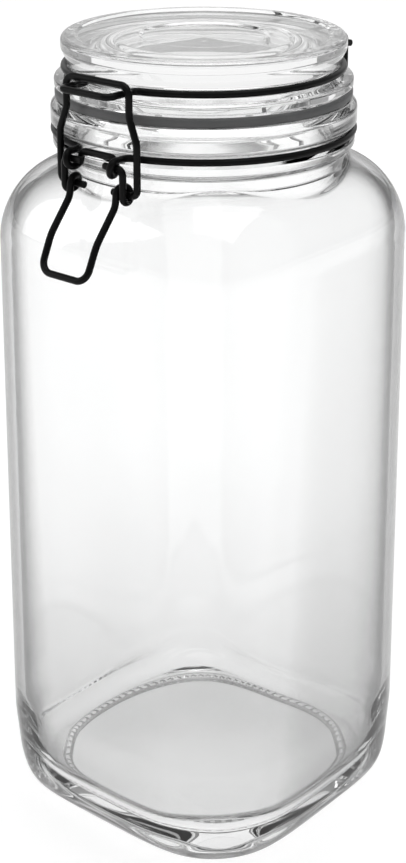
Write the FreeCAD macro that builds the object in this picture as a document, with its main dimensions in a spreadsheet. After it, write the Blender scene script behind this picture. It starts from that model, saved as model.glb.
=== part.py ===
import FreeCAD, Part
import os
import math
import Sketcher
from FreeCAD import Vector

# Square-bodied clip-top glass storage jar with a hinged glass lid.
# Frame: origin at the centre of the base, +Z up, clasp on the -Y face,
# lid hinge at +Y. Millimetres.

doc = FreeCAD.newDocument("clip_top_jar")

# ---------------------------------------------------------------- dimensions
sheet = doc.addObject("Spreadsheet::Sheet", "dims")
VALUES = [
    # glass body
    ("body_side", 110.0), ("body_corner", 30.0), ("body_top", 222.5),
    ("shoulder_round", 29.0), ("heel_round", 8.0), ("wall", 3.8),
    ("floor_level", 7.5), ("pushup_side", 87.0), ("pushup_corner", 36.0),
    ("pushup_depth", 2.6), ("inner_shoulder_round", 24.5), ("inner_heel_round", 9.0),
    ("base_ring_rad", 59.5), ("corner_rad", 66.0), ("corner_level", 20.0),
    ("inner_ring_rad", 47.0), ("inner_corner_rad", 62.0), ("inner_corner_level", 26.5),
    # neck and rim
    ("neck_rad", 45.4), ("ledge_rad", 47.8), ("ledge_low", 225.6), ("ledge_high", 228.7),
    ("groove_rad", 46.1), ("bead_low", 231.4), ("bead_rad", 48.4), ("bead_high", 237.6),
    ("rim_rad", 46.5), ("rim_level", 239.8), ("mouth_rad", 41.1),
    # lid
    ("lid_top", 259.6), ("lid_dish_rad", 19.6), ("lid_dish_depth", 0.8),
    ("flange_rad", 44.9), ("flange_low", 255.6), ("waist_rad", 42.6),
    ("waist_high", 250.9), ("waist_low", 248.0), ("skirt_rad", 47.1), ("skirt_high", 246.6),
    ("seat_level", 243.1), ("plug_rad", 39.7), ("plug_low", 234.0),
    ("hollow_rad", 35.0), ("hollow_top", 251.2), ("hollow_top_rad", 31.0),
    # gasket
    ("gasket_out", 46.9), ("gasket_in", 40.0), ("gasket_low", 240.0), ("gasket_high", 243.0),
    # wire work
    ("wire_dia", 2.2), ("run_gap", 0.08), ("neck_wire_rad", 47.3), ("neck_wire_level", 230.0),
    ("lid_wire_rad", 43.8), ("lid_wire_level", 249.6),
    ("hinge_out", 55.4), ("hinge_eye_x", 12.9), ("hinge_arm_x", 9.0), ("hinge_pin_x", 16.8),
    ("front_eye_x", 9.2), ("front_eye_out", 51.1), ("eye_pitch", 2.5),
    ("lug_x", 9.5), ("lug_out", 54.6),
    ("lever_pin_x", 4.6), ("lever_arm_x", 11.8), ("pin_drop", 8.2), ("pin_in", 2.2),
    ("lever_knee_out", 60.2), ("lever_knee_level", 206.0), ("lever_knee_x", 9.3),
    ("lever_tip_out", 65.0), ("lever_tip_level", 195.6), ("lever_tip_x", 9.2),
    ("link_bar_x", 12.6), ("link_wide_x", 15.5), ("link_pin_x", 5.8), ("link_gap", 0.65),
    ("link_bend_high", 243.0), ("link_bend_low", 235.5),
]
V = {}
for i, (name, value) in enumerate(VALUES):
    cell = "B%d" % (i + 1)
    sheet.set("A%d" % (i + 1), name)
    sheet.set(cell, repr(value))
    sheet.setAlias(cell, name)
    V[name] = value
doc.recompute()


def plane(body, role):
    for f in body.Origin.OriginFeatures:
        if f.Role == role:
            return f


def new_sketch(body, name, role):
    sk = body.newObject("Sketcher::SketchObject", name)
    sk.AttachmentSupport = [(plane(body, role), "")]
    sk.MapMode = "FlatFace"
    return sk


def profile(sk, pts):
    """Closed outline; each corner is (x expression, y expression)."""
    def val(e):
        out = e
        for k in sorted(V, key=len, reverse=True):
            out = out.replace("dims." + k, repr(V[k]))
        total = 0.0
        for term in out.replace("-", "+-").split("+"):
            if not term:
                continue
            num = 1.0
            sign = 1.0
            if term.startswith("-"):
                sign = -1.0
                term = term[1:]
            for j, fac in enumerate(term.split("/")):
                prod = 1.0
                for q in fac.split("*"):
                    prod *= float(q)
                num = prod if j == 0 else num / prod
            total += sign * num
        return total
    n = len(pts)
    xy = [(val(a) if a else 0.0, val(b)) for a, b in pts]
    for i in range(n):
        a, b = xy[i], xy[(i + 1) % n]
        sk.addGeometry(Part.LineSegment(Vector(a[0], a[1], 0), Vector(b[0], b[1], 0)), False)
    for i in range(n):
        sk.addConstraint(Sketcher.Constraint("Coincident", i, 2, (i + 1) % n, 1))
    for i, (ex, ey) in enumerate(pts):
        if ex:
            c = sk.addConstraint(Sketcher.Constraint("DistanceX", -1, 1, i, 1, xy[i][0]))
            sk.setExpression("Constraints[%d]" % c, ex)
        else:
            sk.addConstraint(Sketcher.Constraint("PointOnObject", i, 1, -2))
        c = sk.addConstraint(Sketcher.Constraint("DistanceY", -1, 1, i, 1, xy[i][1]))
        sk.setExpression("Constraints[%d]" % c, ey)


def square(sk, side):
    """Square outline centred on the axis; its corners are rounded later as edges."""
    a = V_of(side) / 2.0
    p = [Vector(-a, -a, 0), Vector(a, -a, 0), Vector(a, a, 0), Vector(-a, a, 0)]
    for i in range(4):
        sk.addGeometry(Part.LineSegment(p[i], p[(i + 1) % 4]), False)
    for i in range(4):
        sk.addConstraint(Sketcher.Constraint("Coincident", i, 2, (i + 1) % 4, 1))
    sk.addConstraint(Sketcher.Constraint("Horizontal", 0))
    sk.addConstraint(Sketcher.Constraint("Horizontal", 2))
    sk.addConstraint(Sketcher.Constraint("Vertical", 1))
    sk.addConstraint(Sketcher.Constraint("Vertical", 3))
    sk.addConstraint(Sketcher.Constraint("Symmetric", 0, 1, 2, 1, -1, 1))
    c = sk.addConstraint(Sketcher.Constraint("DistanceX", 0, 1, 0, 2, 2 * a))
    sk.setExpression("Constraints[%d]" % c, side)
    c = sk.addConstraint(Sketcher.Constraint("DistanceY", 1, 1, 1, 2, 2 * a))
    sk.setExpression("Constraints[%d]" % c, side)


def rounded_square(sk, side, corner):
    """Square outline with round corners, centred on the axis."""
    a, c = V_of(side) / 2.0, V_of(corner)
    q = a - c
    runs = [((-q, -a), (q, -a)), ((a, -q), (a, q)), ((q, a), (-q, a)), ((-a, q), (-a, -q))]
    mids = [(q, -q), (q, q), (-q, q), (-q, -q)]
    for i in range(4):
        (x1, y1), (x2, y2) = runs[i]
        sk.addGeometry(Part.LineSegment(Vector(x1, y1, 0), Vector(x2, y2, 0)), False)
    for i in range(4):
        circle = Part.Circle(Vector(mids[i][0], mids[i][1], 0), Vector(0, 0, 1), c)
        t0 = -math.pi / 2 + i * math.pi / 2
        sk.addGeometry(Part.ArcOfCircle(circle, t0, t0 + math.pi / 2), False)
    for i in range(4):
        sk.addConstraint(Sketcher.Constraint("Tangent", i, 2, 4 + i, 1))
        sk.addConstraint(Sketcher.Constraint("Tangent", 4 + i, 2, (i + 1) % 4, 1))
    sk.addConstraint(Sketcher.Constraint("Horizontal", 0))
    sk.addConstraint(Sketcher.Constraint("Vertical", 1))
    for i in range(1, 4):
        sk.addConstraint(Sketcher.Constraint("Equal", 4, 4 + i))
    sk.addConstraint(Sketcher.Constraint("Symmetric", 4, 3, 6, 3, -1, 1))
    k = sk.addConstraint(Sketcher.Constraint("Radius", 4, c))
    sk.setExpression("Constraints[%d]" % k, corner)
    k = sk.addConstraint(Sketcher.Constraint("DistanceX", 7, 3, 4, 3, 2 * q))
    sk.setExpression("Constraints[%d]" % k, "%s-2*(%s)" % (side, corner))
    k = sk.addConstraint(Sketcher.Constraint("DistanceY", 4, 3, 5, 3, 2 * q))
    sk.setExpression("Constraints[%d]" % k, "%s-2*(%s)" % (side, corner))


def V_of(expr):
    out = expr
    for k in sorted(V, key=len, reverse=True):
        out = out.replace("dims." + k, repr(V[k]))
    total = 0.0
    for term in out.replace("-", "+-").split("+"):
        if not term:
            continue
        sign = 1.0
        if term.startswith("-"):
            sign, term = -1.0, term[1:]
        prod = 1.0
        for q in term.split("*"):
            prod *= float(q)
        total += sign * prod
    return total


def edges_where(feature, test):
    names = []
    for i, e in enumerate(feature.Shape.Edges):
        if test(e):
            names.append("Edge%d" % (i + 1))
    return names


def fillet(body, base, name, test, radius):
    doc.recompute()
    names = edges_where(base, test)
    if not names:
        raise RuntimeError("no edges for " + name)
    f = body.newObject("PartDesign::Fillet", name)
    f.Base = (base, names)
    f.setExpression("Radius", radius)
    doc.recompute()
    return f


def level(e, z):
    return abs(e.BoundBox.ZMin - z) < 0.02 and abs(e.BoundBox.ZMax - z) < 0.02


def upright(e):
    return abs(e.BoundBox.XLength) < 0.02 and abs(e.BoundBox.YLength) < 0.02


def ring_at(r, z):
    return lambda e: (level(e, z) and hasattr(e.Curve, "Radius")
                      and abs(e.Curve.Radius - r) < 0.02)


# ---------------------------------------------------------------- glass body
outer = doc.addObject("PartDesign::Body", "jar_outer")
sk = new_sketch(outer, "jar_plan", "XY_Plane")
rounded_square(sk, "dims.body_side", "dims.body_corner")
pad = outer.newObject("PartDesign::Pad", "jar_block")
pad.Profile = sk
pad.setExpression("Length", "dims.body_top")
f2 = fillet(outer, pad, "jar_shoulder", lambda e: level(e, V["body_top"]), "dims.shoulder_round")
f3 = fillet(outer, f2, "jar_heel", lambda e: level(e, 0.0), "dims.heel_round")
sk = new_sketch(outer, "neck_section", "XZ_Plane")
profile(sk, [
    ("", "dims.floor_level+60"), ("dims.neck_rad-3", "dims.floor_level+60"),
    ("dims.neck_rad-3", "dims.body_top-20"), ("dims.neck_rad", "dims.body_top-14"),
    ("dims.neck_rad", "dims.ledge_low-2"), ("dims.ledge_rad", "dims.ledge_low"),
    ("dims.ledge_rad", "dims.ledge_high-1"), ("dims.groove_rad", "dims.ledge_high"),
    ("dims.groove_rad", "dims.bead_low"), ("dims.bead_rad", "dims.bead_low+1"),
    ("dims.bead_rad", "dims.bead_high"), ("dims.rim_rad", "dims.rim_level"),
    ("", "dims.rim_level"),
])
neck = outer.newObject("PartDesign::Revolution", "neck_and_rim")
neck.Profile = sk
neck.ReferenceAxis = (sk, ["V_Axis"])
neck.Angle = 360.0
doc.recompute()
n1 = fillet(outer, neck, "bead_round_low", ring_at(V["bead_rad"], V["bead_low"] + 1), "dims.wire_dia/2")
n2 = fillet(outer, n1, "bead_round_high", ring_at(V["bead_rad"], V["bead_high"]), "dims.wire_dia")
n3 = fillet(outer, n2, "rim_round", ring_at(V["rim_rad"], V["rim_level"]), "dims.wire_dia/2")
n4 = fillet(outer, n3, "ledge_round", ring_at(V["ledge_rad"], V["ledge_low"]), "dims.wire_dia/2")
# pushed-up base inside the bearing ring
sk = new_sketch(outer, "pushup_plan", "XY_Plane")
rounded_square(sk, "dims.pushup_side", "dims.pushup_corner")
before = outer.Shape.Volume
push = outer.newObject("PartDesign::Pocket", "base_pushup")
push.Profile = sk
push.setExpression("Length", "dims.pushup_depth")
push.Reversed = True
doc.recompute()
if before - push.Shape.Volume < 1000:
    raise RuntimeError("base push-up cut nothing")
p2 = fillet(outer, push, "pushup_round", lambda e: level(e, V["pushup_depth"]), "dims.pushup_depth-0.4")
outer.Tip = p2

cavity = doc.addObject("PartDesign::Body", "jar_cavity")
sk = new_sketch(cavity, "cavity_plan", "XY_Plane")
rounded_square(sk, "dims.body_side-2*dims.wall", "dims.body_corner-dims.wall")
cpad = cavity.newObject("PartDesign::Pad", "cavity_block")
cpad.Profile = sk
cpad.setExpression("Length", "dims.body_top-dims.wall")
c2 = fillet(cavity, cpad, "cavity_shoulder",
            lambda e: level(e, V["body_top"] - V["wall"]), "dims.inner_shoulder_round")
sk = new_sketch(cavity, "floor_plan", "XY_Plane")
square(sk, "dims.body_side+10")
fcut = cavity.newObject("PartDesign::Pocket", "floor_cut")
fcut.Profile = sk
fcut.setExpression("Length", "dims.floor_level")
fcut.Reversed = True
doc.recompute()
c3 = fillet(cavity, fcut, "cavity_heel", lambda e: level(e, V["floor_level"]), "dims.inner_heel_round")
sk = new_sketch(cavity, "mouth_section", "XZ_Plane")
profile(sk, [
    ("", "dims.body_top-40"), ("dims.mouth_rad", "dims.body_top-40"),
    ("dims.mouth_rad", "dims.rim_level+5"), ("", "dims.rim_level+5"),
])
mouth = cavity.newObject("PartDesign::Revolution", "mouth_bore")
mouth.Profile = sk
mouth.ReferenceAxis = (sk, ["V_Axis"])
mouth.Angle = 360.0
doc.recompute()
cavity.Tip = mouth



def corner_cutter(label, ring, low, wide, high):
    """Turned cutter that takes square lower corners off to a round base."""
    body = doc.addObject("PartDesign::Body", label)
    sk = new_sketch(body, label + "_section", "XZ_Plane")
    ra, za, rb, h = V_of(ring), V_of(low), V_of(wide), V_of(high)
    rr = ((rb - ra) ** 2 + (h - za) ** 2) / (2 * (rb - ra))
    far = rb + 14.0
    loop = [(ra, za), (ra, za - 2.0), (far, za - 2.0), (far, h), (rb, h)]
    for a, b in zip(loop[:-1], loop[1:]):
        sk.addGeometry(Part.LineSegment(Vector(a[0], a[1], 0), Vector(b[0], b[1], 0)), False)
    circle = Part.Circle(Vector(rb - rr, h, 0), Vector(0, 0, 1), rr)
    sk.addGeometry(Part.ArcOfCircle(circle, math.atan2(za - h, ra - rb + rr), 0.0), False)
    for i in range(3):
        sk.addConstraint(Sketcher.Constraint("Coincident", i, 2, i + 1, 1))
    sk.addConstraint(Sketcher.Constraint("Coincident", 3, 2, 4, 2))
    sk.addConstraint(Sketcher.Constraint("Coincident", 0, 1, 4, 1))
    sk.addConstraint(Sketcher.Constraint("Vertical", 0))
    sk.addConstraint(Sketcher.Constraint("Horizontal", 1))
    sk.addConstraint(Sketcher.Constraint("Vertical", 2))
    sk.addConstraint(Sketcher.Constraint("Horizontal", 3))
    for c, e in ((Sketcher.Constraint("DistanceX", -1, 1, 0, 1, ra), ring),
                 (Sketcher.Constraint("DistanceX", -1, 1, 4, 2, rb), wide),
                 (Sketcher.Constraint("DistanceY", -1, 1, 4, 2, h), high),
                 (Sketcher.Constraint("DistanceY", -1, 1, 4, 3, h), high),
                 (Sketcher.Constraint("DistanceX", -1, 1, 1, 2, far), wide + "+14")):
        k = sk.addConstraint(c)
        sk.setExpression("Constraints[%d]" % k, e)
    if za:
        k = sk.addConstraint(Sketcher.Constraint("DistanceY", -1, 1, 0, 1, za))
        sk.setExpression("Constraints[%d]" % k, low)
    else:
        sk.addConstraint(Sketcher.Constraint("PointOnObject", 0, 1, -1))
    sk.addConstraint(Sketcher.Constraint("DistanceY", 0, 2, 0, 1, 2.0))
    rev = body.newObject("PartDesign::Revolution", label + "_turned")
    rev.Profile = sk
    rev.ReferenceAxis = (sk, ["V_Axis"])
    rev.Angle = 360.0
    doc.recompute()
    body.Tip = rev
    return body


def cut(label, base, tool, least):
    c = doc.addObject("Part::Cut", label)
    c.Base = base
    c.Tool = tool
    doc.recompute()
    if base.Shape.Volume - c.Shape.Volume < least:
        raise RuntimeError(label + " cut nothing")
    return c


# the four lower corners are turned off to a round base, outside and inside
trim = corner_cutter("corner_trim", "dims.base_ring_rad", "0", "dims.corner_rad", "dims.corner_level")
shaped = cut("jar_shaped", outer, trim, 500.0)
inner_trim = corner_cutter("inner_trim", "dims.inner_ring_rad", "dims.floor_level",
                           "dims.inner_corner_rad", "dims.inner_corner_level")
hollow = cut("cavity_shaped", cavity, inner_trim, 500.0)
jar = cut("jar_body", shaped, hollow, 500000.0)

# ---------------------------------------------------------------- glass lid
lid = doc.addObject("PartDesign::Body", "lid")
sk = new_sketch(lid, "lid_section", "XZ_Plane")
profile(sk, [
    ("", "dims.hollow_top"), ("dims.hollow_top_rad", "dims.hollow_top"),
    ("dims.hollow_rad", "dims.plug_low"), ("dims.plug_rad", "dims.plug_low"),
    ("dims.plug_rad", "dims.seat_level"), ("dims.skirt_rad-1", "dims.seat_level"),
    ("dims.skirt_rad", "dims.seat_level+1"), ("dims.skirt_rad", "dims.skirt_high"),
    ("dims.waist_rad", "dims.waist_low"), ("dims.waist_rad", "dims.waist_high"),
    ("dims.flange_rad", "dims.flange_low"), ("dims.flange_rad", "dims.lid_top"),
    ("dims.lid_dish_rad", "dims.lid_top"), ("dims.lid_dish_rad-1", "dims.lid_top-dims.lid_dish_depth"),
    ("", "dims.lid_top-dims.lid_dish_depth"),
])
lrev = lid.newObject("PartDesign::Revolution", "lid_turned")
lrev.Profile = sk
lrev.ReferenceAxis = (sk, ["V_Axis"])
lrev.Angle = 360.0
l1 = fillet(lid, lrev, "lid_top_round", ring_at(V["flange_rad"], V["lid_top"]), "dims.wire_dia*1.4")
l2 = fillet(lid, l1, "lid_flange_round", ring_at(V["flange_rad"], V["flange_low"]), "dims.wire_dia")
l3 = fillet(lid, l2, "lid_skirt_round", ring_at(V["skirt_rad"], V["skirt_high"]), "dims.wire_dia*0.6")
l4 = fillet(lid, l3, "lid_plug_round",
            lambda e: ring_at(V["plug_rad"], V["plug_low"])(e) or ring_at(V["hollow_rad"], V["plug_low"])(e),
            "dims.wire_dia*0.7")
l5 = fillet(lid, l4, "lid_hollow_round", ring_at(V["hollow_top_rad"], V["hollow_top"]), "dims.wire_dia*2.5")
lid.Tip = l5

# ---------------------------------------------------------------- gasket
gasket = doc.addObject("PartDesign::Body", "gasket")
sk = new_sketch(gasket, "gasket_section", "XZ_Plane")
profile(sk, [
    ("dims.gasket_in", "dims.gasket_low"), ("dims.gasket_out", "dims.gasket_low"),
    ("dims.gasket_out", "dims.gasket_high"), ("dims.gasket_in", "dims.gasket_high"),
])
grev = gasket.newObject("PartDesign::Revolution", "gasket_ring")
grev.Profile = sk
grev.ReferenceAxis = (sk, ["V_Axis"])
grev.Angle = 360.0
g1 = fillet(gasket, grev, "gasket_round",
            lambda e: ring_at(V["gasket_out"], V["gasket_low"])(e) or ring_at(V["gasket_out"], V["gasket_high"])(e),
            "dims.wire_dia*0.45")
gasket.Tip = g1
doc.recompute()


# ---------------------------------------------------------------- wire work
def arc_edge(a, c, b):
    """Arc from a to b, tangent to both runs of the corner c."""
    ta = (c - a).normalize()
    tb = (b - c).normalize()
    h = tb - ta
    turn = math.acos(max(-1.0, min(1.0, ta.dot(tb))))
    t = (c - a).Length
    r = t / math.tan(turn / 2.0)
    n = h.normalize()
    centre = c + n * (r / math.cos(turn / 2.0))
    mid = centre - n * r
    return Part.Arc(a, mid, b).toShape()


class Route:
    """Bent-wire centre line: straight runs joined by tangent arcs."""

    def __init__(self, start):
        self.pts = [(Vector(*start), 0.0, None)]

    def to(self, p, r=0.0):
        self.pts.append((Vector(*p), r, None))
        return self

    def edges(self):
        out = []
        cur = self.pts[0][0]
        for i in range(1, len(self.pts)):
            p, r, _ = self.pts[i]
            if r and i + 1 < len(self.pts):
                nxt = self.pts[i + 1][0]
                ta = (p - self.pts[i - 1][0]).normalize()
                tb = (nxt - p).normalize()
                turn = math.acos(max(-1.0, min(1.0, ta.dot(tb))))
                t = r * math.tan(turn / 2.0)
                a = p - ta * t
                b = p + tb * t
                if (a - cur).Length > 1e-4:
                    out.append(Part.LineSegment(cur, a).toShape())
                out.append(arc_edge(a, p, b))
                cur = b
            else:
                if (p - cur).Length > 1e-4:
                    out.append(Part.LineSegment(cur, p).toShape())
                cur = p
        return out, cur


def ring_corner(R, x, r, z, side):
    """Tangent arc between a ring of radius R and a radial run at x.
    Gives (ring point, corner middle, run point) on the +X half."""
    yc = side * math.sqrt((R + r) ** 2 - (x + r) ** 2)
    c = Vector(x + r, yc, z)
    on_ring = Vector((x + r) * R / (R + r), yc * R / (R + r), z)
    on_run = Vector(x, yc, z)
    m = (on_ring + on_run) * 0.5 - c
    mid = c + m.normalize() * r
    return on_ring, mid, on_run


def mirror_x(v):
    return Vector(-v.x, v.y, v.z)


def mirrored(edges):
    """The -X half, run in the opposite order."""
    out = []
    for e in reversed(edges):
        p = [mirror_x(v) for v in e.discretize(3)]
        if isinstance(e.Curve, Part.Line) or e.Curve.TypeId == "Part::GeomLine":
            out.append(Part.LineSegment(p[2], p[0]).toShape())
        else:
            out.append(Part.Arc(p[2], p[1], p[0]).toShape())
    return out


def bent_wire(label, edges):
    path = doc.addObject("Part::Feature", label + "_route")
    path.Shape = Part.Wire(edges)
    first = path.Shape.OrderedEdges[0]
    pts = first.discretize(12)
    start = pts[0]
    tan = (pts[1] - pts[0]).normalize()
    circ = doc.addObject("Part::Circle", label + "_section")
    circ.setExpression("Radius", "dims.wire_dia/2")
    circ.Placement = FreeCAD.Placement(start, FreeCAD.Rotation(Vector(0, 0, 1), tan))
    sw = doc.addObject("Part::Sweep", label)
    sw.Sections = [circ]
    sw.Spine = (path, [])
    sw.Solid = True
    sw.Frenet = False
    doc.recompute()
    want = math.pi * (V["wire_dia"] / 2.0) ** 2 * path.Shape.Length
    print(label, "length", round(path.Shape.Length, 2), "volume", round(sw.Shape.Volume, 2),
          "section x length", round(want, 2))
    if abs(sw.Shape.Volume - want) > 0.01 * want:
        raise RuntimeError(label + ": wire volume is off")
    return sw


eye = V["wire_dia"] + V["run_gap"]          # centre-line radius of an eye round a pin
zn = V["neck_wire_level"]
zl = V["lid_wire_level"]
zc = zn - eye                               # lever pivot level
oc = V["front_eye_out"]

# neck wire: rear hinge eye, riser, ring, front eye, bridge (and the mirror of it)
hy, hx = V["hinge_out"], V["hinge_eye_x"]
R, r = V["neck_wire_rad"], 2.5
ring_a, ring_m, ring_b = ring_corner(R, hx, r, zn, 1.0)
half = []
# rear eye: three quarters of a turn round the lid's pin, open end below
half.append(Part.LineSegment(Vector(hx, hy + 0.3, zl - eye), Vector(hx, hy, zl - eye)).toShape())
s2 = eye * math.sqrt(0.5)
half.append(Part.Arc(Vector(hx, hy, zl - eye), Vector(hx, hy - s2, zl - s2), Vector(hx, hy - eye, zl)).toShape())
half.append(Part.Arc(Vector(hx, hy - eye, zl), Vector(hx, hy - s2, zl + s2), Vector(hx, hy, zl + eye)).toShape())
half.append(Part.Arc(Vector(hx, hy, zl + eye), Vector(hx, hy + s2, zl + s2), Vector(hx, hy + eye, zl)).toShape())
# riser down and in to the ring
k = 3.0
half.append(Part.LineSegment(Vector(hx, hy + eye, zl), Vector(hx, hy + eye, zn + k)).toShape())
half.append(arc_edge(Vector(hx, hy + eye, zn + k), Vector(hx, hy + eye, zn), Vector(hx, hy + eye - k, zn)))
half.append(Part.LineSegment(Vector(hx, hy + eye - k, zn), ring_b).toShape())
half.append(Part.Arc(ring_b, ring_m, ring_a).toShape())
fring_a, fring_m, fring_b = ring_corner(R, V["front_eye_x"], r, zn, -1.0)
half.append(Part.Arc(ring_a, Vector(R, 0, zn), fring_a).toShape())
half.append(Part.Arc(fring_a, fring_m, fring_b).toShape())
# front eye: one turn round the lever's pin, then the bridge to the other eye
x0, pitch = V["front_eye_x"], V["eye_pitch"]
rt = Route((fring_b.x, fring_b.y, fring_b.z))
rc = eye * 0.97
rt.to((x0, -(oc + eye), zn), rc)
rt.to((x0 - 0.28 * pitch, -(oc + eye), zn - 2 * eye), rc)
rt.to((x0 - 0.68 * pitch, -(oc - eye), zn - 2 * eye), rc)
rt.to((x0 - pitch, -(oc - eye), zn), rc)
rt.to((0.0, -(oc - eye), zn))
seg, _ = rt.edges()
half += seg
neck_edges = half + mirrored(half)
neck_wire = bent_wire("neck_wire", neck_edges)

# lid wire: hinge pin, arm, ring in the lid's waist, front lug (and the mirror of it)
R = V["lid_wire_rad"]
r = 2.4
ax = V["hinge_arm_x"]
la, lm, lb = ring_corner(R, ax, r, zl, 1.0)
half = []
rt = Route((V["hinge_pin_x"], hy, zl))
rt.to((ax, hy, zl), 2.0)
rt.to((lb.x, lb.y, lb.z))
seg, _ = rt.edges()
half += seg
half.append(Part.Arc(lb, lm, la).toShape())
fa, fm, fb = ring_corner(R, V["lug_x"], r, zl, -1.0)
half.append(Part.Arc(la, Vector(R, 0, zl), fa).toShape())
half.append(Part.Arc(fa, fm, fb).toShape())
rt = Route((fb.x, fb.y, fb.z))
rt.to((V["lug_x"], -V["lug_out"], zl), 2.2)
rt.to((0.0, -V["lug_out"], zl))
seg, _ = rt.edges()
half += seg
lid_wire = bent_wire("lid_wire", half + mirrored(half))

# clasp link: bar over the lug, two legs that widen, pins turned in at the foot
lo = oc - V["pin_in"]                        # link stands this far out
zp = zc - V["pin_drop"]                      # its pins' level
zb = zl + V["wire_dia"] + V["link_gap"]      # its bar's level
rt = Route((V["link_pin_x"], -lo, zp))
rt.to((V["link_wide_x"], -lo, zp), 2.2)
rt.to((V["link_wide_x"], -lo, V["link_bend_low"]), 5.0)
rt.to((V["link_bar_x"], -lo, V["link_bend_high"]), 5.0)
rt.to((V["link_bar_x"], -lo, zb), 3.0)
rt.to((0.0, -lo, zb))
seg, _ = rt.edges()
clasp_link = bent_wire("clasp_link", seg + mirrored(seg))

# lever: pin in the neck wire's eye, arm, one-turn eyelet round the link's pin, finger loop
ex = V["lever_arm_x"]
rt = Route((V["lever_pin_x"], -oc, zc))
rt.to((ex, -oc, zc), 2.0)
rt.to((ex, -(lo + eye), zp - eye), rc)
rt.to((ex - 0.28 * pitch, -(lo - eye), zp - eye), rc)
rt.to((ex - 0.68 * pitch, -(lo - eye), zp + eye), rc)
rt.to((ex - pitch, -(lo + eye), zp + eye), rc)
rt.to((ex - pitch, -(lo + eye + 0.6), zp - eye - 1.2), 5.0)
rt.to((V["lever_knee_x"], -V["lever_knee_out"], V["lever_knee_level"]), 14.0)
rt.to((V["lever_tip_x"], -V["lever_tip_out"], V["lever_tip_level"]), 4.0)
rt.to((0.0, -V["lever_tip_out"], V["lever_tip_level"]))
seg, _ = rt.edges()
lever = bent_wire("lever", seg + mirrored(seg))

# ---------------------------------------------------------------- check and write
doc.recompute()
bad = [o.Name for o in doc.Objects if "Invalid" in o.State or "Error" in o.State]
if bad:
    raise RuntimeError("failed objects: " + ", ".join(bad))
nodes = [jar, lid, gasket, neck_wire, lid_wire, clasp_link, lever]
for label, o in zip(["jar_body", "lid", "gasket", "neck_wire", "lid_wire", "clasp_link", "lever"], nodes):
    o.Label = label
for o in nodes:
    if o.Shape.isNull() or not o.Shape.isValid() or len(o.Shape.Solids) != 1:
        raise RuntimeError("bad shape: " + o.Label)
os.makedirs("parts", exist_ok=True)
for o in nodes:
    o.Shape.exportStep("parts/" + o.Label + ".step")
    b = o.Shape.BoundBox
    print(o.Label, "volume", round(o.Shape.Volume, 1), "box",
          [round(q, 2) for q in (b.XMin, b.YMin, b.ZMin, b.XMax, b.YMax, b.ZMax)])
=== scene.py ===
import math

import bmesh
import bpy
import numpy as np
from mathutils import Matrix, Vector


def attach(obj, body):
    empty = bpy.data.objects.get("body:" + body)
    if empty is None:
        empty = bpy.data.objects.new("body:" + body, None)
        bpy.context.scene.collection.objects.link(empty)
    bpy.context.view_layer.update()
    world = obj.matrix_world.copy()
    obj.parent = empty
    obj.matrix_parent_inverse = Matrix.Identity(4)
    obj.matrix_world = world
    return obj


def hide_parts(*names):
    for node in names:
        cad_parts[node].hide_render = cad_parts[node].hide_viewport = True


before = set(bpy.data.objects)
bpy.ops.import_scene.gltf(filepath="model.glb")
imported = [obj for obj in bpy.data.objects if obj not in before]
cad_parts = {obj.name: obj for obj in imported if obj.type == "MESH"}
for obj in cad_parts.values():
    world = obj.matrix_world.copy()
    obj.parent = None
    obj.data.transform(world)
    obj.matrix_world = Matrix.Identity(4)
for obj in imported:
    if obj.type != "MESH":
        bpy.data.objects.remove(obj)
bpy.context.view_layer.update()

scene = bpy.context.scene
MM = 0.001


def square_radius(a, c, phi):
    """Distance from the axis to a soft square of half side a, as far out at its corners as one
    rounded with radius c; its curvature runs on evenly, as blown glass does."""
    power = 1.0 / (0.5 - math.log2(((a - c) * math.sqrt(2.0) + c) / a))
    u, v = np.abs(np.cos(phi)), np.abs(np.sin(phi))
    return a / (u ** power + v ** power) ** (1.0 / power)


def soft_max(a, b, k):
    return 0.5 * (a + b + np.sqrt((a - b) ** 2 + k * k))


def soft_min(a, b, k):
    """Smaller of two radii, eased where they meet, never above either."""
    return 0.5 * (a + b - np.sqrt((a - b) ** 2 + k * k))


def corner_limit(z, low, ring_r, wide_r, high):
    """Radius to which square lower corners are turned off at a height."""
    arc = ((wide_r - ring_r) ** 2 + (high - low) ** 2) / (2 * (wide_r - ring_r))
    d = max(low, min(z, high)) - high
    return wide_r - arc + math.sqrt(max(arc * arc - d * d, 0.0))


def rounded_line(points, step=0.35, arc_steps=7):
    """Open outline of (r, z, corner radius) with tangent arcs, sampled."""
    out = []
    n = len(points)
    for i, (x, z, rad) in enumerate(points):
        p = np.array([x, z], float)
        if rad <= 0 or i in (0, n - 1):
            out.append(p)
            continue
        a = np.array(points[i - 1][:2], float) - p
        b = np.array(points[i + 1][:2], float) - p
        la, lb = np.linalg.norm(a), np.linalg.norm(b)
        a, b = a / la, b / lb
        half = math.acos(max(-1.0, min(1.0, float(a @ b)))) / 2.0
        t = min(rad / math.tan(half), 0.48 * la, 0.48 * lb)
        r = t * math.tan(half)
        mid = (a + b) / np.linalg.norm(a + b)
        c = p + mid * (r / math.sin(half))
        s, e = p + a * t, p + b * t
        a0 = math.atan2(*(s - c)[::-1])
        a1 = math.atan2(*(e - c)[::-1])
        d = (a1 - a0 + math.pi) % (2 * math.pi) - math.pi
        for k in range(arc_steps + 1):
            w = a0 + d * k / arc_steps
            out.append(c + r * np.array([math.cos(w), math.sin(w)]))
    return np.array(out)


def dense(line, step):
    out = [line[0]]
    for p, q in zip(line[:-1], line[1:]):
        m = max(1, int(np.linalg.norm(q - p) / step))
        for k in range(1, m + 1):
            out.append(p + (q - p) * k / m)
    return np.array(out)


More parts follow.
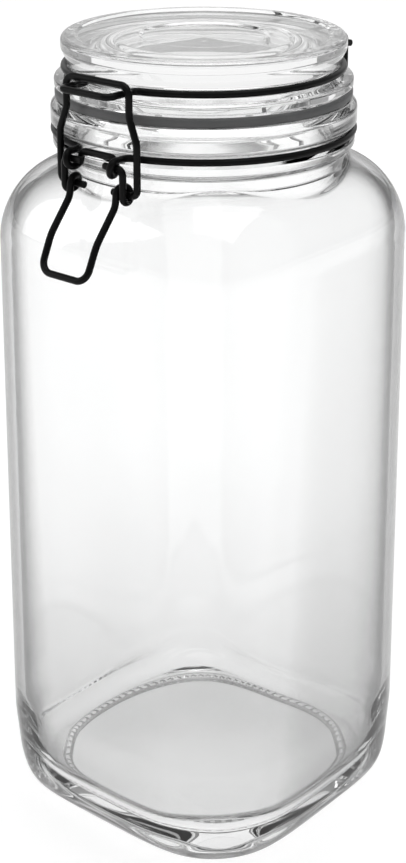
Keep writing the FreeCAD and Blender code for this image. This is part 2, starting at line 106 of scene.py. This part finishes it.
def skin(name, rows, pole_a=None, pole_b=None):
    """Closed surface from rings of points, with a pole at either end or ring joined to ring."""
    rows = [np.asarray(r, float) for r in rows]
    n = len(rows[0])
    verts = [tuple(p * MM) for r in rows for p in r]
    faces = []
    for i in range(len(rows) - 1):
        for j in range(n):
            k = (j + 1) % n
            faces.append((i * n + j, i * n + k, (i + 1) * n + k, (i + 1) * n + j))
    if pole_a is None:
        i = len(rows) - 1
        for j in range(n):
            k = (j + 1) % n
            faces.append((i * n + j, i * n + k, k, j))
    else:
        verts.append(tuple(np.array(pole_a) * MM))
        pa = len(verts) - 1
        verts.append(tuple(np.array(pole_b) * MM))
        pb = len(verts) - 1
        i = (len(rows) - 1) * n
        for j in range(n):
            k = (j + 1) % n
            faces.append((pa, k, j))
            faces.append((pb, i + j, i + k))
    me = bpy.data.meshes.new(name)
    me.from_pydata(verts, [], faces)
    bm = bmesh.new()
    bm.from_mesh(me)
    bmesh.ops.recalc_face_normals(bm, faces=bm.faces)
    bm.to_mesh(me)
    bm.free()
    for p in me.polygons:
        p.use_smooth = True
    ob = bpy.data.objects.new(name, me)
    scene.collection.objects.link(ob)
    return ob


def turned(name, line, n=288, closed=False):
    phi = np.linspace(0, 2 * math.pi, n, endpoint=False)
    pts = line if closed else line[1:-1]
    rows = [np.stack([r * np.cos(phi), r * np.sin(phi), np.full(n, z)], 1) for r, z in pts]
    if closed:
        return skin(name, rows)
    return skin(name, rows, (0, 0, line[0][1]), (0, 0, line[-1][1]))


# ------------------------------------------------------------------ materials
def principled(name):
    m = bpy.data.materials.new(name)
    m.use_nodes = True
    nt = m.node_tree
    return m, nt, nt.nodes["Principled BSDF"]


def noise(nt, coord, scale, detail=3.0, rough=0.55):
    n = nt.nodes.new("ShaderNodeTexNoise")
    n.inputs["Scale"].default_value = scale
    n.inputs["Detail"].default_value = detail
    n.inputs["Roughness"].default_value = rough
    nt.links.new(coord.outputs["Object"], n.inputs["Vector"])
    return n


def ramp(nt, src, stops):
    r = nt.nodes.new("ShaderNodeValToRGB")
    while len(r.color_ramp.elements) < len(stops):
        r.color_ramp.elements.new(0.5)
    for e, (pos, col) in zip(r.color_ramp.elements, stops):
        e.position = pos
        e.color = (*col, 1.0)
    nt.links.new(src.outputs["Fac"], r.inputs["Fac"])
    return r


def bump(nt, bsdf, src, strength, distance):
    b = nt.nodes.new("ShaderNodeBump")
    b.inputs["Strength"].default_value = strength
    b.inputs["Distance"].default_value = distance
    nt.links.new(src.outputs["Fac"], b.inputs["Height"])
    nt.links.new(b.outputs["Normal"], bsdf.inputs["Normal"])


def glass_material(name, wave_scale, wave, base_painted_shade, stops):
    """Clear soda glass whose colour carries painted shade: it is darker where seen edge on, standing in for dark
    surroundings refracted and reflected at the edges, and optionally darker towards the base.
    """
    m, nt, b = principled(name)
    tc = nt.nodes.new("ShaderNodeTexCoord")
    n = noise(nt, tc, wave_scale, 2.0, 0.45)
    c = ramp(nt, n, [(0.3, (0.968, 0.97, 0.97)), (0.7, (0.984, 0.986, 0.986))])
    # Facing ramp: painted shade that darkens the glass colour edge on, standing in for the dark surroundings refracted
    # and reflected at the edges.
    lw = nt.nodes.new("ShaderNodeLayerWeight")
    lw.inputs["Blend"].default_value = 0.5
    edge = nt.nodes.new("ShaderNodeValToRGB")
    while len(edge.color_ramp.elements) < len(stops):
        edge.color_ramp.elements.new(0.5)
    for e, (pos, v) in zip(edge.color_ramp.elements, stops):
        e.position = pos
        e.color = (v, v, v, 1.0)
    nt.links.new(lw.outputs["Facing"], edge.inputs["Fac"])
    mul = nt.nodes.new("ShaderNodeMix")
    mul.data_type = "RGBA"
    mul.blend_type = "MULTIPLY"
    mul.inputs["Factor"].default_value = 1.0
    nt.links.new(c.outputs["Color"], mul.inputs[6])
    nt.links.new(edge.outputs["Color"], mul.inputs[7])
    last = mul
    # Darker towards the bottom by object height: painted shade standing in for the shaded floor under the jar seen
    # through the glass.
    if base_painted_shade:
        sep = nt.nodes.new("ShaderNodeSeparateXYZ")
        nt.links.new(tc.outputs["Object"], sep.inputs["Vector"])
        low = nt.nodes.new("ShaderNodeMapRange")
        low.inputs["From Min"].default_value = 0.0
        low.inputs["From Max"].default_value = 0.12
        nt.links.new(sep.outputs["Z"], low.inputs["Value"])
        lr = nt.nodes.new("ShaderNodeValToRGB")
        lr.color_ramp.elements[0].color = (base_painted_shade, base_painted_shade, base_painted_shade, 1.0)
        lr.color_ramp.elements[1].color = (1.0, 1.0, 1.0, 1.0)
        lr.color_ramp.interpolation = "EASE"
        nt.links.new(low.outputs["Result"], lr.inputs["Fac"])
        last = nt.nodes.new("ShaderNodeMix")
        last.data_type = "RGBA"
        last.blend_type = "MULTIPLY"
        last.inputs["Factor"].default_value = 1.0
        nt.links.new(mul.outputs[2], last.inputs[6])
        nt.links.new(lr.outputs["Color"], last.inputs[7])
    nt.links.new(last.outputs[2], b.inputs["Base Color"])
    b.inputs["Roughness"].default_value = 0.0
    b.inputs["IOR"].default_value = 1.5
    b.inputs["Transmission Weight"].default_value = 1.0
    bump(nt, b, n, wave, 0.0006)
    return m


def wire_material():
    m, nt, b = principled("black_powder_coat")
    tc = nt.nodes.new("ShaderNodeTexCoord")
    fine = noise(nt, tc, 2600.0, 4.0, 0.6)
    broad = noise(nt, tc, 90.0, 2.0, 0.5)
    c = ramp(nt, broad, [(0.3, (0.0016, 0.0016, 0.0017)), (0.75, (0.0045, 0.0045, 0.0047))])
    nt.links.new(c.outputs["Color"], b.inputs["Base Color"])
    b.inputs["Specular IOR Level"].default_value = 0.11
    r = ramp(nt, fine, [(0.25, (0.30, 0.30, 0.30)), (0.8, (0.44, 0.44, 0.44))])
    nt.links.new(r.outputs["Color"], b.inputs["Roughness"])
    bump(nt, b, fine, 0.25, 0.00005)
    return m


def rubber_material():
    m, nt, b = principled("grey_silicone")
    tc = nt.nodes.new("ShaderNodeTexCoord")
    fine = noise(nt, tc, 1500.0, 3.0, 0.6)
    broad = noise(nt, tc, 60.0, 2.0, 0.5)
    c = ramp(nt, broad, [(0.3, (0.072, 0.073, 0.074)), (0.7, (0.098, 0.099, 0.10))])
    nt.links.new(c.outputs["Color"], b.inputs["Base Color"])
    r = ramp(nt, fine, [(0.2, (0.45, 0.45, 0.45)), (0.8, (0.62, 0.62, 0.62))])
    nt.links.new(r.outputs["Color"], b.inputs["Roughness"])
    bump(nt, b, fine, 0.2, 0.00005)
    return m


# The stop lists set the painted edge shade of each glass, and 0.84 sets the painted shade towards the jar's base.
jar_glass = glass_material("jar_glass", 22.0, 0.10, 0.84,
                           [(0.0, 1.0), (0.30, 0.99), (0.42, 0.89), (0.53, 0.42), (0.66, 0.15), (1.0, 0.03)])
lid_glass = glass_material("lid_glass", 26.0, 0.08, None,
                           [(0.0, 1.0), (0.35, 0.97), (0.55, 0.88), (0.72, 0.80), (0.86, 0.66), (1.0, 0.20)])
wire_mat = wire_material()
rubber_mat = rubber_material()

# ------------------------------------------------------------------ jar body
N = 576
phi = np.linspace(0, 2 * math.pi, N, endpoint=False) + 0.5 * math.pi / N
cs, sn = np.cos(phi), np.sin(phi)


def ring(r, z):
    return np.stack([r * cs, r * sn, np.broadcast_to(np.asarray(z, float), r.shape)], 1)


A, C = 55.0, 30.0
PUSH_A, PUSH_C, PUSH_Z, PUSH_R = 43.5, 36.0, 2.6, 2.2
HEEL, SHOULDER, TOP, WALL = 8.0, 29.0, 222.5, 3.8
BASE_R, CORNER_R, CORNER_Z = 59.5, 66.0, 20.0
IN_BASE_R, IN_CORNER_R, IN_CORNER_Z = 47.0, 62.0, 26.5
NECK, MOUTH, FLOOR = 45.4, 41.1, 7.5
rows = []
edge = square_radius(PUSH_A - PUSH_R, PUSH_C - PUSH_R, phi)
for s in np.linspace(0.05, 0.98, 20):
    rows.append(ring(edge * s, PUSH_Z))
for al in np.linspace(math.pi / 2, 0, 8):
    t = PUSH_R * (1 - math.cos(al))
    rows.append(ring(square_radius(PUSH_A - t, PUSH_C - t, phi), PUSH_Z - PUSH_R + PUSH_R * math.sin(al)))
# bearing ring: a row of short ticks and a fine groove round them are pressed up into it
ticks = np.clip(np.sin(96 * phi) * 1.4 + 0.2, 0, 1)
sole = soft_min(square_radius(A - HEEL, C - HEEL, phi), np.full(N, BASE_R), 2.4)
inner = square_radius(PUSH_A, PUSH_C, phi)
for f in np.linspace(0.0, 1.0, 33):
    band = max(0.0, min(1.0, (f - 0.06) * 9)) * max(0.0, min(1.0, (0.68 - f) * 9))
    line = math.exp(-((f - 0.87) / 0.07) ** 2)
    rows.append(ring(inner + 3.2 * f, 1.3 * band * ticks + 1.1 * line))
for f in np.linspace(0.0, 1.0, 9)[1:]:
    rows.append(ring((inner + 3.2) * (1 - f) + sole * f, 0.0))


def side(z):
    """Outer wall radius below the shoulder."""
    t = HEEL - math.sqrt(max(HEEL ** 2 - (HEEL - min(z, HEEL)) ** 2, 0.0))
    return soft_min(square_radius(A - t, C - t, phi), np.full(N, corner_limit(z, 0.0, BASE_R, CORNER_R, CORNER_Z)), 2.4)


wall = square_radius(A, C, phi)
for al in np.linspace(0, math.pi / 2, 22)[1:]:
    z = HEEL * (1 - math.cos(al))
    rows.append(ring(side(z), z))
for z in np.linspace(HEEL, CORNER_Z + 8.0, 22)[1:]:
    f = min(1.0, max(0.0, (z - CORNER_Z + 6.0) / 14.0))
    f = f * f * (3 - 2 * f)
    rows.append(ring(side(z) * (1 - f) + wall * f, z))
base_z, top_z = CORNER_Z + 8.0, TOP - SHOULDER
for f in np.linspace(0, 1, 16)[1:]:
    rows.append(ring(square_radius(A, C, phi), base_z + (top_z - base_z) * f))
for al in np.linspace(0, math.radians(86), 48)[1:]:
    t = SHOULDER * (1 - math.cos(al))
    r = np.minimum(soft_max(square_radius(A - t, C - t, phi), np.full(N, NECK), 1.6), square_radius(A, C, phi))
    rows.append(ring(r, top_z + SHOULDER * math.sin(al)))
neck_line = rounded_line([
    (NECK, TOP + 0.1, 0), (NECK, 223.7, 1.0), (47.8, 225.6, 1.1), (47.8, 227.7, 0.7), (46.1, 228.7, 0.7),
    (46.1, 231.4, 0.7), (48.4, 232.4, 1.1), (48.4, 237.6, 2.2), (46.5, 239.8, 1.1), (41.9, 239.8, 0.9),
    (MOUTH, 238.6, 0.9), (MOUTH, TOP - WALL - 0.2, 0)], arc_steps=8)
for r, z in dense(neck_line, 1.1):
    rows.append(ring(np.full(N, r), z))
IN_SH, IN_HEEL = 24.5, 9.0
ia, ic = A - WALL, C - WALL
itop = TOP - WALL - IN_SH
for al in np.linspace(math.radians(86), 0, 44):
    t = IN_SH * (1 - math.cos(al))
    r = np.minimum(soft_max(square_radius(ia - t, ic - t, phi), np.full(N, MOUTH), 1.6), square_radius(ia, ic, phi))
    rows.append(ring(r, itop + IN_SH * math.sin(al)))
iwall = square_radius(ia, ic, phi)


def inside(z):
    """Inner wall radius below the shoulder."""
    t = IN_HEEL - math.sqrt(max(IN_HEEL ** 2 - (FLOOR + IN_HEEL - min(z, FLOOR + IN_HEEL)) ** 2, 0.0))
    cap = corner_limit(z, FLOOR, IN_BASE_R, IN_CORNER_R, IN_CORNER_Z)
    return soft_min(square_radius(ia - t, ic - t, phi), np.full(N, cap), 4.0)


for f in np.linspace(0, 1, 16)[1:]:
    rows.append(ring(iwall, itop + (IN_CORNER_Z + 8.0 - itop) * f))
for z in np.linspace(IN_CORNER_Z + 8.0, FLOOR + IN_HEEL, 22)[1:]:
    f = min(1.0, max(0.0, (z - IN_CORNER_Z + 6.0) / 14.0))
    f = f * f * (3 - 2 * f)
    rows.append(ring(inside(z) * (1 - f) + iwall * f, z))
for al in np.linspace(0, math.pi / 2, 24)[1:]:
    z = FLOOR + IN_HEEL * (1 - math.sin(al))
    rows.append(ring(inside(z), z))
edge = inside(FLOOR)
for s in np.linspace(0.975, 0.05, 22):
    rows.append(ring(edge * s, FLOOR + 0.9 * (1 - s * s) ** 2))
jar = skin("jar_glass_body", rows, (0, 0, PUSH_Z), (0, 0, FLOOR + 0.9))
jar.data.materials.append(jar_glass)
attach(jar, "jar")
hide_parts("jar_body")

# ------------------------------------------------------------------ lid
lid_line = rounded_line([
    (0, 251.0, 0), (31.0, 251.2, 5.5), (35.0, 234.0, 1.5), (39.7, 234.0, 1.5), (39.7, 243.1, 0.5),
    (46.1, 243.1, 0.5), (47.1, 244.1, 0.8), (47.1, 246.6, 1.3), (42.6, 248.0, 0.8), (42.6, 250.9, 1.2),
    (44.9, 255.6, 2.6), (44.9, 259.6, 3.0), (40.4, 259.6, 1.0), (39.4, 259.0, 0.8), (20.4, 258.9, 0.6),
    (19.4, 258.2, 0.6), (0, 258.0, 0)], arc_steps=10)
lid = turned("lid_glass", dense(lid_line, 0.7))
lid.data.materials.append(lid_glass)
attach(lid, "lid")
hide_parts("lid")

# ------------------------------------------------------------------ gasket
g = rounded_line([
    (40.0, 241.5, 0), (40.0, 240.0, 0.4), (46.9, 240.0, 1.0), (46.9, 243.0, 1.0), (40.0, 243.0, 0.4), (40.0, 241.6, 0)],
    arc_steps=6)
gasket = turned("gasket_ring", dense(g, 0.6), closed=True)
gasket.data.materials.append(rubber_mat)
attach(gasket, "lid")
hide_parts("gasket")

for ob in (jar, lid):
    ob.visible_shadow = False

# ------------------------------------------------------------------ wire work
for node in ("neck_wire", "lid_wire", "clasp_link", "lever"):
    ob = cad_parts[node]
    ob.data.materials.clear()
    ob.data.materials.append(wire_mat)

# ------------------------------------------------------------------ floor, light, camera
me = bpy.data.meshes.new("floor")
bm = bmesh.new()
bmesh.ops.create_grid(bm, x_segments=2, y_segments=2, size=6.0)
bm.to_mesh(me)
bm.free()
floor = bpy.data.objects.new("floor", me)
floor.location = (0, 0, -0.0002)
scene.collection.objects.link(floor)
fm, fnt, fb = principled("pale_floor")
fb.inputs["Base Color"].default_value = (0.9, 0.9, 0.9, 1)
fb.inputs["Roughness"].default_value = 0.8
fb.inputs["Emission Color"].default_value = (1, 1, 1, 1)
fb.inputs["Emission Strength"].default_value = 0.27
floor.data.materials.append(fm)

world = bpy.data.worlds.new("studio")
scene.world = world
world.use_nodes = True
wn = world.node_tree
bg = wn.nodes["Background"]
tc = wn.nodes.new("ShaderNodeTexCoord")
sep = wn.nodes.new("ShaderNodeSeparateXYZ")
wn.links.new(tc.outputs["Generated"], sep.inputs["Vector"])
wr = wn.nodes.new("ShaderNodeValToRGB")
wr.color_ramp.elements[0].position = 0.0
wr.color_ramp.elements[0].color = (0.30, 0.30, 0.30, 1)
wr.color_ramp.elements[1].position = 0.9
wr.color_ramp.elements[1].color = (0.42, 0.42, 0.42, 1)
wn.links.new(sep.outputs["Z"], wr.inputs["Fac"])
wn.links.new(wr.outputs["Color"], bg.inputs["Color"])
bg.inputs["Strength"].default_value = 1.0


def area(name, loc, target, size, power):
    d = bpy.data.lights.new(name, "AREA")
    d.shape = "RECTANGLE"
    d.size, d.size_y = size
    d.energy = power
    o = bpy.data.objects.new(name, d)
    o.location = loc
    v = Vector(target) - Vector(loc)
    o.rotation_euler = v.to_track_quat("-Z", "Y").to_euler()
    scene.collection.objects.link(o)
    return o


area("overhead", (0.2, 0.1, 1.9), (0, 0, 0.1), (2.0, 2.0), 20.0)
area("back_box", (-1.1, 1.3, 0.80), (0, 0, 0.25), (2.6, 1.2), 6.5)
area("left_box", (-1.1, -0.9, 0.7), (0, 0, 0.13), (0.5, 1.1), 4.0)

AZ, PITCH = math.radians(40.0), math.radians(16.88)
DIST, HIGH, FPX = 0.568, 0.3719, 1846.0
cam = bpy.data.cameras.new("camera")
cam.sensor_fit = "VERTICAL"
cam.sensor_height = 36.0
cam.lens = FPX * 36.0 / 863.0
cam.shift_y = -0.25
cam.shift_x = -0.001
cam.clip_start = 0.01
co = bpy.data.objects.new("camera", cam)
co.location = (DIST * math.sin(AZ), -DIST * math.cos(AZ), HIGH)
co.rotation_euler = (math.pi / 2 - PITCH, 0, AZ)
scene.collection.objects.link(co)
scene.camera = co
scene.view_settings.view_transform = "Standard"
scene.cycles.max_bounces = 24
scene.cycles.transmission_bounces = 24
scene.cycles.glossy_bounces = 12
